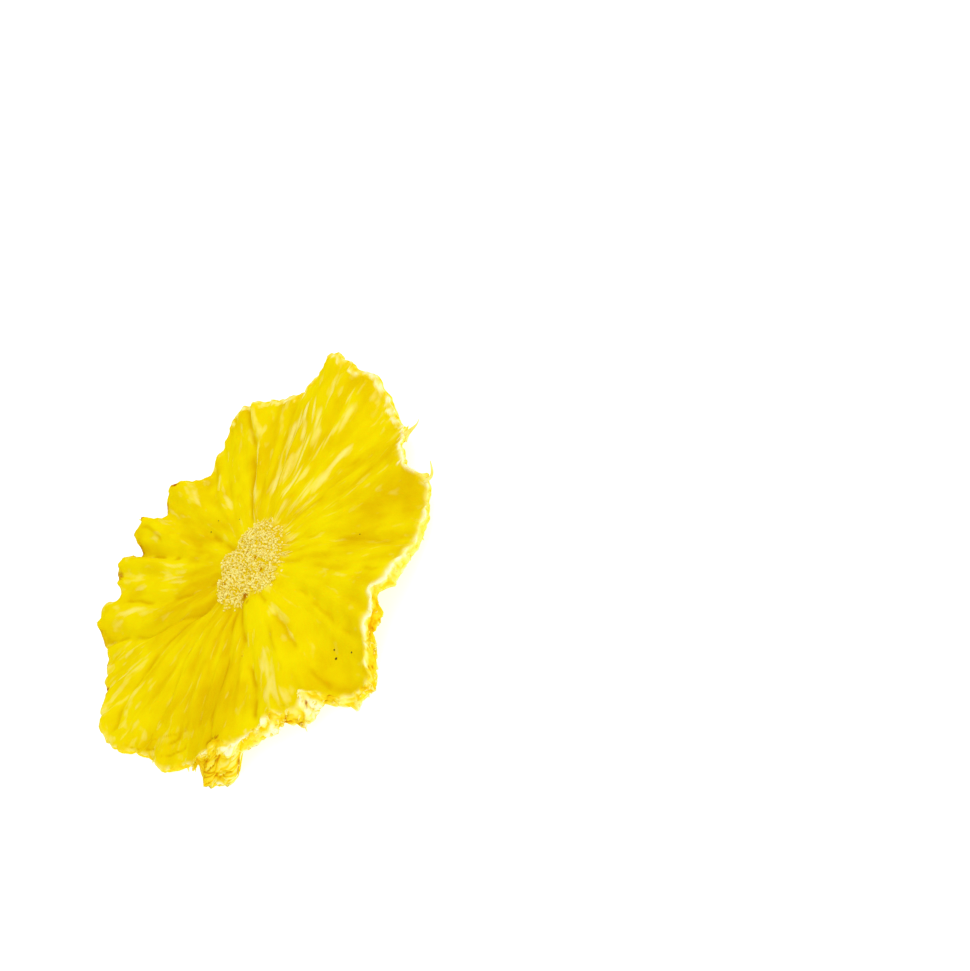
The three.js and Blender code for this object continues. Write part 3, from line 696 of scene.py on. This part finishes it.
# %% Where the edge was cut, and the painted light on its crumples and the painted shade between them
# Pale and amber (negative) stretches: degrees, how wide, share of the way down, how far, strength.
EDGE_STRETCHES = [
    (231, 6, 0.1, 0.13, 0.9), (232, 6, 0.9, 0.17, 0.9), (239.3, 1.2, 0.5, 2, 1.0),
    (250.6, 2.0, 0.3, 2, 1.2), (244.5, 3.0, 0.6, 0.4, -0.5), (280, 10, 0.05, 0.18, 0.8),
    (292, 9, 0.1, 0.25, 0.6), (328, 20, 0.1, 0.3, 0.7), (258, 3, 0.6, 0.5, 0.4),
    (217, 1.5, 0.06, 0.12, 1.2), (228, 2.0, 0.2, 0.25, 0.9), (272, 10, 0.65, 0.4, -0.5),
    (318, 42, 0.5, 2, 0.35), (292, 7, 0.7, 0.5, 0.4), (257, 6, 0.0, 0.1, -0.5),
]
# The pale lip on the upper face is partly cut flesh and partly a painted highlight along the edge.
LIP_WIDTH, LIP_WIDENS = 0.35, 0.25             # of the pale lip on the upper face
WIDE_LIP_AT = (290, 24, 0.0)
RAGGED_SIZE = 1.6                  # of the noise that breaks the lip up
TAB_SHADE = 0.36                   # how much deeper the tab is

lip_width = LIP_WIDTH + LIP_WIDENS * strongest_at(angle, *WIDE_LIP_AT)
# The crumbly band takes the colours of the cut edge, with painted highlights on its crumbs.
on_crumbs = 0.7 * side * smoothstep(crumbly + 0.3 * crumb_noise, 0.4, 0.65)
cut = np.maximum(bump(to_edge, lip_width) * 0.8 * side * (1 - 0.9 * far_side), on_crumbs)
cut = np.maximum(cut, smoothstep(side * down, 0.0, 0.03))
ragged = np.zeros_like(share)
ragged[wall] = smoothstep(noise_at(place[wall], RAGGED_SIZE), -0.5, 0.3)
# The lips, where the wall meets each face, are painted light as highlights on those corners.
lips = (bump(down, 0.12) + 0.7 * bump(side, 0.15)) * ragged * (1 - 0.9 * far_side)
crumpled = lips * (1 - 0.7 * tab_share(angle)) - TAB_SHADE * tab_share(angle)
# Painted light on the crests of the crumbs and painted shade between them.
crumpled += 0.6 * crumb_noise * smoothstep(crumbly, 0.25, 0.6) * side
crumpled += along_cut(EDGE_STRETCHES)
# Painted light on the crests of the crumples and teeth, and painted shade in their hollows.
crumpled[wall] += crumples * (0.3 + 0.7 * torn[wall]) + tooth
print("crumples from", crumpled.min().round(2), "to", crumpled.max().round(2))

# %% All of it stored on the vertices
FRAYED_AT = 330                    # the side where the core frays into the flesh, in degrees
turn_from_frayed = turn_between(angle, FRAYED_AT)
frayed = smoothstep(turn_from_frayed, -130, -60) * smoothstep(turn_from_frayed, 110, 50)
way_along = np.radians(along)
surface = {
    "fibres": np.stack([np.cos(way_along), np.sin(way_along), radius / ROUND_RADIUS], 1),
    # The height of the relief and the broad tones; the material paints light on its high places and shade on
    # its low ones.
    "relief": on_flesh * (0.6 * swell + 0.5 * ridges + 1.4 * broad_tones),
    "creases": on_flesh * np.maximum(0.15 * wrinkles, np.minimum(drawn, 1)),
    "flecks": flecks * side,
    "browning_and_shade": browning_and_shade,
    "cut_edge": cut,
    "crumpled": crumpled,
    "tab_skin": skin,
    "core": core_share(radius, angle, -0.8, 0.4 + 3.5 * frayed),
}
for name, values in surface.items():
    vector = values.ndim == 2
    attribute = slice_mesh.attributes.new(name, "FLOAT_VECTOR" if vector else "FLOAT", "POINT")
    attribute.data.foreach_set("vector" if vector else "value", values.astype(np.float32).ravel())
print("stored", ", ".join(surface))

# %% [markdown]
# ## Dried pineapple flesh
# Dried fruit flesh is a sugary, slightly see-through solid: light enters, scatters a millimetre or so
# and comes back a deep yellow, with only a soft gloss on top. So the colour is a clear yellow, with some
# subsurface scattering and a middling roughness. Painted shade leans it to amber in the creases and
# hollows, and painted light to butter yellow on the ridges. Streaks along the fibres carry most of the
# pattern.

# %% What the material of the slice starts from
# Noise along the fibres: cells round the circle, cells on the way out, detail.
FIBRE_PATTERNS = {"streaks": (9.0, 5.0, 1.5), "broken": (20.0, 9.0, 2.0), "fine": (90.0, 14.0, 3.0)}
PATCH_SIZE = 9.0           # of the broad brighter patches, mm
GRAIN_SIZE = 1.0           # of the grain on the cut edge, mm
flesh, tree, shader = start_material("dried_pineapple_flesh", {
    "Roughness": 0.42, "Subsurface Weight": 0.2, "Subsurface Radius": (1.0, 0.7, 0.1),
    "Subsurface Scale": 0.8 * MM})
stored = {name: add_node(tree, "ShaderNodeAttribute", {}, "Vector" if values.ndim == 2 else "Fac",
                         attribute_name=name) for name, values in surface.items()}
where = add_node(tree, "ShaderNodeTexCoord", {}, "Object")
pattern = {}
for name, (cells, cells_out, detail) in FIBRE_PATTERNS.items():
    stretched = add_node(tree, "ShaderNodeMapping",
                         {"Vector": stored["fibres"], "Scale": (cells, cells, cells_out)})
    pattern[name] = add_node(tree, "ShaderNodeTexNoise",
                             {"Vector": stretched, "Scale": 1.0, "Detail": detail}, "Fac")
for name, size in (("patches", PATCH_SIZE), ("edge_grain", GRAIN_SIZE)):
    pattern[name] = add_node(tree, "ShaderNodeTexNoise",
                             {"Vector": where, "Scale": 1 / (size * MM), "Detail": 3.0}, "Fac")
print("patterns:", ", ".join(pattern))

# %% The colours of the flesh and the core, each layer over the last
# A layer shows where an attribute times its weight, plus a pattern, rises from a low level to a high one.
# Then come how much it covers at most, and its colour. Below them all lies a deep yellow, the painted shade
# of the hollows.
HOLLOW_SHADE = "#DFBC02"
LAYERS = {
    # Painted light on the raised relief and its broad brighter places, over streaks along the fibres.
    "painted_ridge_light": ("relief", 0.12, "streaks", 0.28, 0.62, 1.0, "#E9D003"),
    # Partly painted light on raised places, partly brighter patches at random.
    "bright_patches": ("relief", 0.08, "patches", 0.42, 0.7, 0.75, "#F1DF04"),
    # Pale flecks, partly pale flesh and partly painted sheen; they also carry the only gloss.
    "pale_flecks_and_painted_sheen": ("flecks", 0.7, "broken", 0.64, 1.2, 0.6, "#FFF58A"),
    # Painted shade, in amber, along the creases and wrinkles.
    "painted_crease_shade": ("creases", 1.0, "none", 0.0, 1.0, 0.7, "#CF9C00"),
    "frayed_core_rays": ("core", 0.3, "streaks", 0.7, 0.92, 0.8, "#F3E260"),
    "bed_of_fibre_ends": ("core", 1.0, "none", 0.8, 1.0, 1.0, "#E4C206"),
}
colour = linear(HOLLOW_SHADE)
shown = {}
for name, (attribute, weight, added, low, high, most, tone) in LAYERS.items():
    level = add_node(tree, "ShaderNodeMath",
                     {0: stored[attribute], 1: weight, 2: pattern.get(added, 0.0)}, **MULTIPLY_ADD)
    shown[name] = add_node(tree, "ShaderNodeMapRange", {0: level, 1: low, 2: high, 4: most})
    colour = add_node(tree, "ShaderNodeMix", {0: shown[name], 6: colour, 7: linear(tone)}, **COLOUR_MIX)
print("layers:", ", ".join(shown))

# %% The tab's skin: sharp folds along the borders of a drawn-out Voronoi pattern, painted as shade, and a tone for each cell, painted light and shade as on facets turned to and away from the light
FLAT_CELLS = {"Vector": stored["tab_skin"], "Scale": 1.0}
skin_border = add_node(tree, "ShaderNodeTexVoronoi", FLAT_CELLS, "Distance", voronoi_dimensions="2D",
                       feature="DISTANCE_TO_EDGE")
skin_fold = add_node(tree, "ShaderNodeMapRange", {0: skin_border, 1: 0.0, 2: 0.2, 3: -0.9, 4: 0.0})
skin_tone = add_node(tree, "ShaderNodeTexVoronoi", FLAT_CELLS, "Color", voronoi_dimensions="2D")
skin_light = add_node(tree, "ShaderNodeMath", {0: skin_tone, 1: 0.9, 2: skin_fold}, **MULTIPLY_ADD)
on_skin = add_node(tree, "ShaderNodeSeparateXYZ", {0: stored["tab_skin"]}, "Z")
print("skin of the tab ready")

# %% The cut edge: amber as painted shade in its hollows, then yellow, and cream on its crests and lips as painted light, partly the pale cut flesh
EDGE_TONES = [(0.0, "#C4740A"), (0.2, "#E2A60A"), (0.36, "#F0CA0C"), (0.56, "#F5D924"), (0.78, "#FAEB78"),
              (1.0, "#FEF7C2")]
edge_rise = add_node(tree, "ShaderNodeMath", {0: pattern["edge_grain"], 1: stored["crumpled"]},
                     operation="ADD")
folded = add_node(tree, "ShaderNodeMath", {0: skin_light, 1: on_skin, 2: edge_rise}, **MULTIPLY_ADD)
edge_light = add_node(tree, "ShaderNodeMapRange", {0: folded, 1: -0.8, 2: 2.0})
edge_colour = add_node(tree, "ShaderNodeValToRGB", {0: edge_light})
ramp = edge_colour.node.color_ramp
while len(ramp.elements) < len(EDGE_TONES):
    ramp.elements.new(0.5)
for element, (position, tone) in zip(ramp.elements, EDGE_TONES):
    element.position = position
    element.color = linear(tone)
colour = add_node(tree, "ShaderNodeMix", {0: stored["cut_edge"], 6: colour, 7: edge_colour}, **COLOUR_MIX)
print(len(ramp.elements), "tones on the cut edge")

# %% Browning and painted shade, then fine bumps; the sugary flecks are the only glossy spots
BROWN_AND_SHADE = linear("#AE5E08")
BUMP_HEIGHT = 0.14         # mm
grain = add_node(tree, "ShaderNodeMix",
                 {0: stored["cut_edge"], 2: pattern["fine"], 3: pattern["edge_grain"]}, data_type="FLOAT")
darkening = add_node(tree, "ShaderNodeMath", {0: stored["browning_and_shade"], 1: grain}, operation="MULTIPLY")
on_browning_and_shade = add_node(tree, "ShaderNodeMapRange", {0: darkening, 1: 0.12, 2: 0.45})
colour = add_node(tree, "ShaderNodeMix", {0: on_browning_and_shade, 6: colour, 7: BROWN_AND_SHADE}, **COLOUR_MIX)
bumps = add_node(tree, "ShaderNodeBump", {"Height": grain, "Strength": 0.3, "Distance": BUMP_HEIGHT * MM},
                 "Normal")
gloss = add_node(tree, "ShaderNodeMapRange", {0: shown["pale_flecks_and_painted_sheen"], 4: 0.15})
for socket, source in (("Base Color", colour), ("Normal", bumps), ("Specular IOR Level", gloss)):
    tree.links.new(source, shader.inputs[socket])

slice_flesh = add_object("dried_slice_flesh", slice_mesh)
slice_mesh.materials.append(flesh)
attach(slice_flesh, BODY)
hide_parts(NODE)
print("flesh ready,", len(tree.nodes), "nodes in its material")

# %% [markdown]
# ## Broken fibre ends on the core
# The core is a bundle of woody fibres that were cut across. Drying pulls them apart, so its face is a
# brush of short, blunt ends with dark gaps. One end is made as a small six-sided stub with a bevelled
# tip. Well over a thousand copies stand close together, each turned, leaned and stretched at random,
# which keeps every end a real shape that catches the light, as a bump on a flat face would not.

# %% Helpers for small pieces
def from_core(radius, angle, height):
    """A point by its distance and direction from the core's centre."""
    turn = math.radians(angle)
    return Vector((CORE_PLACE[0] + radius * math.cos(turn), CORE_PLACE[1] + radius * math.sin(turn), height))


def on_slice(radius, angle, rise=0.0):
    """A point on the upper face, or a little above it."""
    share = np.clip(np.array([radius]) / ROUND_RADIUS, 0, 1)
    height = float(top_height(share, np.array([angle]))[0]) + REST_DEPTH
    return from_core(radius, angle, height + rise)


def core_edge_at(turn):
    return float(closed_curve(CORE_EDGE, 1, np.array([turn]))[0])


def placed(spot, turn, sizes):
    """The matrix that stretches a small shape, turns it and moves it to a spot; lengths in mm."""
    return Matrix.Translation(spot * MM) @ turn @ Matrix.Diagonal((*(size * MM for size in sizes), 1))


def scatter(bm, matrices):
    """Replace a small shape under construction by one copy of it for every matrix."""
    template = bpy.data.meshes.new("template")
    bm.to_mesh(template)
    bm.clear()
    for matrix in matrices:
        copy = template.copy()
        copy.transform(matrix)
        bm.from_mesh(copy)
        bpy.data.meshes.remove(copy)
    bpy.data.meshes.remove(template)


def finish(bm, name, material):
    """Turn a mesh under construction into a finished piece that rides the slice."""
    bmesh.ops.recalc_face_normals(bm, faces=bm.faces[:])
    mesh = bpy.data.meshes.new(name)
    bm.to_mesh(mesh)
    bm.free()
    mesh.materials.append(material)
    piece = add_object(name, mesh)
    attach(piece, BODY)
    print(name, len(mesh.polygons), "faces")
    return piece


print("core's edge between", CORE_EDGE[:, 1].min(), "and", CORE_EDGE[:, 1].max(), "mm out")

# %% One fibre end, and where its copies stand
CORE_ENDS = 1700
CORE_TUFTS = [(262, 17, 1.2), (22, 20, 0.5)]     # where more ends stick out: degrees, width, how far
END_WIDTHS, END_LENGTHS = (0.1, 0.22), (0.2, 0.5)
END_LEAN = 0.45
FRAY_WIDTH = 70            # how far round the frayed side reaches, in degrees
rng = random.Random(5)

bm = bmesh.new()
bmesh.ops.create_cone(bm, cap_ends=True, segments=6, radius1=1.0, radius2=0.75, depth=2.0)
tip_edges = [e for e in bm.edges if all(v.co.z > 0 for v in e.verts)]
bmesh.ops.bevel(bm, geom=tip_edges, offset=0.35, segments=1, profile=0.5, affect="EDGES", material=-1)
# tip runs from 0 at the foot of an end to 1 at its tip; the material paints light on the tips and shade at
# the feet.
tip = bm.verts.layers.float.new("tip")
for vert in bm.verts:
    vert[tip] = (vert.co.z + 1) / 2

stubs = []
end_tones = []
while len(stubs) < CORE_ENDS:
    reach_out, turn = 10.5 * math.sqrt(rng.random()), rng.uniform(0, 360)
    fray = bump(turn_between(turn, FRAYED_AT), FRAY_WIDTH)
    edge = core_edge_at(turn)
    edge += sum(further * bump(turn_between(turn, at), width) for at, width, further in CORE_TUFTS)
    in_gap = any(math.hypot(math.radians(turn - a) * r, reach_out - r) < 0.8 * size
                 for r, a, size, strength in CORE_GAPS)
    thinned = rng.random() < 0.6 * fray * (reach_out - edge + 3) / 3
    if in_gap or thinned or reach_out > edge + rng.gauss(-0.2, 0.3 + 0.2 * fray):
        continue
    width = rng.uniform(*END_WIDTHS)
    length = rng.uniform(*END_LENGTHS) * (1 - 0.4 * fray)
    lean = rng.gauss(0, END_LEAN), rng.gauss(0, END_LEAN)
    end_tones.append(rng.gauss(0.35, 0.22))
    spot = on_slice(reach_out, turn, rng.uniform(-0.1, 0.1))
    leaned = Matrix.Rotation(lean[0], 4, "X") @ Matrix.Rotation(lean[1], 4, "Y")
    leaned = leaned @ Matrix.Rotation(rng.uniform(0, 3), 4, "Z")
    stubs.append(placed(spot, leaned, (width, width * rng.uniform(0.7, 1.4), length)))
print(len(stubs), "ends placed")

# %% The brush of fibre ends, each with uneven corners and its own tone
UNEVEN = 0.025             # how far each corner strays, in mm
scatter(bm, stubs)
tip = bm.verts.layers.float["tip"]
corners = len(bm.verts) // CORE_ENDS
for index, vert in enumerate(bm.verts):
    vert.co += Vector([rng.gauss(0, UNEVEN) * MM for _ in range(3)])
    vert[tip] = 0.5 * vert[tip] + end_tones[index // corners]

wood, tree, shader = start_material("dried_woody_core", {
    "Roughness": 0.65, "Specular IOR Level": 0.2, "Subsurface Weight": 0.15,
    "Subsurface Radius": (1.0, 0.7, 0.3), "Subsurface Scale": 0.6 * MM})
where = add_node(tree, "ShaderNodeTexCoord", {}, "Object")
tip_tone = add_node(tree, "ShaderNodeAttribute", {}, "Fac", attribute_name="tip")
grains = add_node(tree, "ShaderNodeTexNoise", {"Vector": where, "Scale": 1 / (0.9 * MM), "Detail": 3.0},
                  "Fac")
# Paler towards the tip: painted light on the tips and painted shade at the feet, with a tone of its own for
# each end.
lighter = add_node(tree, "ShaderNodeMath", {0: grains, 1: 0.6, 2: tip_tone}, **MULTIPLY_ADD)
spread = add_node(tree, "ShaderNodeMapRange", {0: lighter, 1: 0.5, 2: 1.25})
cream = add_node(tree, "ShaderNodeMix", {0: spread, 6: linear("#EACE08"), 7: linear("#FFF396")},
                 **COLOUR_MIX)
tree.links.new(cream, shader.inputs["Base Color"])
finish(bm, "core_fibre_ends", wood)

# %% [markdown]
# ## Rays, shreds and barbs
# Pale fibres run out of the core over the flesh on the side where it was torn a little. The cut edge is
# ragged too: short flat shreds stand up from it, most on the near side, and two longer ones dried into
# curled barbs. All three are drawn-out cones: flattened for the shreds, bent for the barbs.

# %% Pale rays round the core
RAYS = 12
bm = bmesh.new()
bmesh.ops.create_cone(bm, cap_ends=True, segments=5, radius1=1.0, radius2=0.25, depth=1.0,
                      matrix=Matrix.Rotation(math.pi / 2, 4, "Y") @ Matrix.Translation((0, 0, 0.5)))
rays = []
for _ in range(RAYS):
    turn = rng.choice([rng.uniform(-70, 50), rng.uniform(255, 345)])
    start = core_edge_at(turn) + rng.uniform(-1.0, 0.5)
    length = rng.uniform(0.8, 2.2)
    foot, end = on_slice(start, turn, 0.0), on_slice(start + length, turn + rng.gauss(0, 3), -0.05)
    heading = (end - foot).to_track_quat("X", "Z").to_matrix().to_4x4()
    width = rng.uniform(0.08, 0.16)
    rays.append(placed(foot, heading, ((end - foot).length, width, 0.6 * width)))
scatter(bm, rays)

pale_fibre = mottled_material("pale_fibre", ("#F4D820", "#FFF29A"), 1.5, {
    "Roughness": 0.55, "Specular IOR Level": 0.2, "Subsurface Weight": 0.3,
    "Subsurface Radius": (1.0, 0.7, 0.3), "Subsurface Scale": 0.6 * MM})
finish(bm, "core_rays", pale_fibre)

# %% Shreds on the cut edge
EDGE_SHREDS = 110
cut_wall = np.nonzero((cut > 0.5) & (share > 0.999))[0]
chance = (0.04 + torn[cut_wall]) * (1 - 0.8 * tab_share(angle[cut_wall]))
picker = np.random.default_rng(8)
chosen = picker.choice(cut_wall, EDGE_SHREDS, replace=False, p=chance / chance.sum())
bm = bmesh.new()
bmesh.ops.create_cone(bm, cap_ends=True, segments=6, radius1=1.0, radius2=0.2, depth=1.0,
                      matrix=Matrix.Translation((0, 0, 0.4)))
shreds = []
for index in chosen:
    out = Vector(outward[index]) * rng.uniform(0.2, 1)
    heading = out + Vector((rng.gauss(0, 0.4), rng.gauss(0, 0.4), rng.gauss(0, 0.5)))
    length, width = rng.uniform(0.4, 0.95), rng.uniform(0.12, 0.3)
    shreds.append(placed(Vector(place[index]), heading.to_track_quat("Z", "Y").to_matrix().to_4x4(),
                         (width, 0.45 * width, length)))
scatter(bm, shreds)
for vert in bm.verts:
    vert.co.z = max(vert.co.z, 0)
finish(bm, "edge_shreds", pale_fibre)

# %% Two curled barbs
# Four points of each curve (radius, degrees, height above the flesh level), and the width of its root.
BARBS = [
    ([(35.0, 337.0, -1.8), (37.2, 337.6, -1.3), (38.5, 334.6, -0.8), (39.8, 335.4, 0.0)], 1.7),
    ([(35.6, 318.0, -1.1), (40.8, 312.8, -0.9), (40.4, 315.6, -0.7), (40.0, 319.8, -0.4)], 1.5),
]
bm = bmesh.new()
for points, width in BARBS:
    horn = bmesh.new()
    bmesh.ops.create_cone(horn, cap_ends=True, segments=8, radius1=0.5, radius2=0.06, depth=1.0,
                          matrix=Matrix.Translation((0, 0, 0.5)))
    long_edges = [e for e in horn.edges if abs(e.verts[0].co.z - e.verts[1].co.z) > 0.5]
    bmesh.ops.subdivide_edges(horn, edges=long_edges, cuts=13, use_grid_fill=True)
    a, b, c, d = (from_core(r, turn, REST_DEPTH + z) for r, turn, z in points)
    for vert in horn.verts:
        t = vert.co.z
        spot = a * (1 - t) ** 3 + b * 3 * t * (1 - t) ** 2 + c * 3 * t ** 2 * (1 - t) + d * t ** 3
        heading = (b - a) * (1 - t) ** 2 + (c - b) * 2 * t * (1 - t) + (d - c) * t ** 2
        aside = heading.cross(Vector((0, 0, 1))).normalized()
        wide = width * (1 + 0.6 * (1 - t) ** 5)
        vert.co = (spot + aside * vert.co.x * wide + Vector((0, 0, 0.4 * wide * vert.co.y))) * MM
    shape = bpy.data.meshes.new("horn")
    horn.to_mesh(shape)
    horn.free()
    bm.from_mesh(shape)
    bpy.data.meshes.remove(shape)
barbs = finish(bm, "curled_barbs", pale_fibre)
barbs.data.polygons.foreach_set("use_smooth", [True] * len(barbs.data.polygons))

# %% [markdown]
# ## Specks
# A few dark specks are burnt sugar or bits of rind that dried onto the flesh. Squashed little balls
# with very few faces are enough for something a third of a millimetre across.

# %% Dark specks
# Each by its place from the core's centre, to the right and away from the camera, and its size.
SPECKS = [(0.3, 18.2, 0.2), (2.6, 17.7, 0.13), (-4.0, -32.3, 0.2), (-4.8, -33.8, 0.26), (-2.8, -37.6, 0.2),
          (5.1, 11.7, 0.1), (14.2, -21.1, 0.12), (-13.6, -14.2, 0.1)]
bm = bmesh.new()
bmesh.ops.create_icosphere(bm, subdivisions=1, radius=1.0)
spots = []
for x, y, size in SPECKS:
    spot = from_core(math.hypot(x, y), math.degrees(math.atan2(y, x)), 0)
    index = int(np.argmin(np.hypot(place[:, 0] - spot.x, place[:, 1] - spot.y) + 100 * (side < 1)))
    spots.append(placed(Vector(place[index]), Matrix(), (size, size * rng.uniform(0.8, 1.3), 0.5 * size)))
scatter(bm, spots)
burnt = mottled_material("burnt_sugar", ("#3A2204", "#6B4508"), 0.2,
                         {"Roughness": 0.6, "Specular IOR Level": 0.1})
finish(bm, "dark_specks", burnt)

# %% [markdown]
# ## Table, light and camera
# A plain white table, which glows a little, and a white sky keep the picture bright and nearly free of
# shadow. One large soft light stands behind the slice on its right, so that it rakes across the lobes
# and fibres. A second one of the same power fills in from the camera's side, so that the cut edge
# facing the camera stays bright.

# %% The stage
bm = bmesh.new()
bmesh.ops.create_grid(bm, x_segments=1, y_segments=1, size=4.0)
table = bpy.data.meshes.new("table")
bm.to_mesh(table)
bm.free()
floor = add_object("table", table)
table.materials.append(mottled_material("white_table", ("#BEBEBC", "#C6C6C6"), 250, {
    "Roughness": 0.6, "Emission Color": linear("#FFFFFF"), "Emission Strength": 0.75}))

world = bpy.data.worlds.new("white_sky")
bpy.context.scene.world = world
world.use_nodes = True
sky = world.node_tree.nodes["Background"]
sky.inputs["Color"].default_value = linear("#FFFFFF")
sky.inputs["Strength"].default_value = 0.84

# Each light: its place and its width in metres. Both shine at the slice with one watt.
for name, stand, width in (("key", (0.35, 0.2, 0.5), 0.4), ("fill", (-0.1, -0.6, 0.3), 0.5)):
    lamp = bpy.data.lights.new(name, "AREA")
    lamp.size = width
    lamp.energy = 1.0
    light = add_object(name, lamp)
    light.location = stand
    light.rotation_euler = (-Vector(stand)).to_track_quat("-Z", "Y").to_euler()
print("table, sky and two lights")

# %% The camera
VIEW_DISTANCE = 288.3      # from the centre of the core, mm
VIEW_ELEVATION = 32.5
AIM = (30.8, -42.4)        # where the optical axis meets the flesh level, from the core's centre
ROLL = -49.7
LENS = 60.0                # on a 36 mm wide sensor

core_at = Vector((*CORE_PLACE, REST_DEPTH))
rise = math.radians(VIEW_ELEVATION)
camera = add_object("camera", bpy.data.cameras.new("camera"))
camera.data.lens = LENS
camera.data.sensor_width = 36.0
camera.data.clip_start = 0.01
camera.location = (core_at + VIEW_DISTANCE * Vector((0, -math.cos(rise), math.sin(rise)))) * MM
looks_at = (core_at + Vector((*AIM, 0))) * MM
facing = (looks_at - camera.location).to_track_quat("-Z", "Y")
camera.rotation_euler = (facing @ Quaternion((0, 0, 1), math.radians(ROLL))).to_euler()
bpy.context.scene.camera = camera
bpy.context.scene.view_settings.view_transform = "Standard"
print("camera at", [round(c / MM, 1) for c in camera.location], "mm")
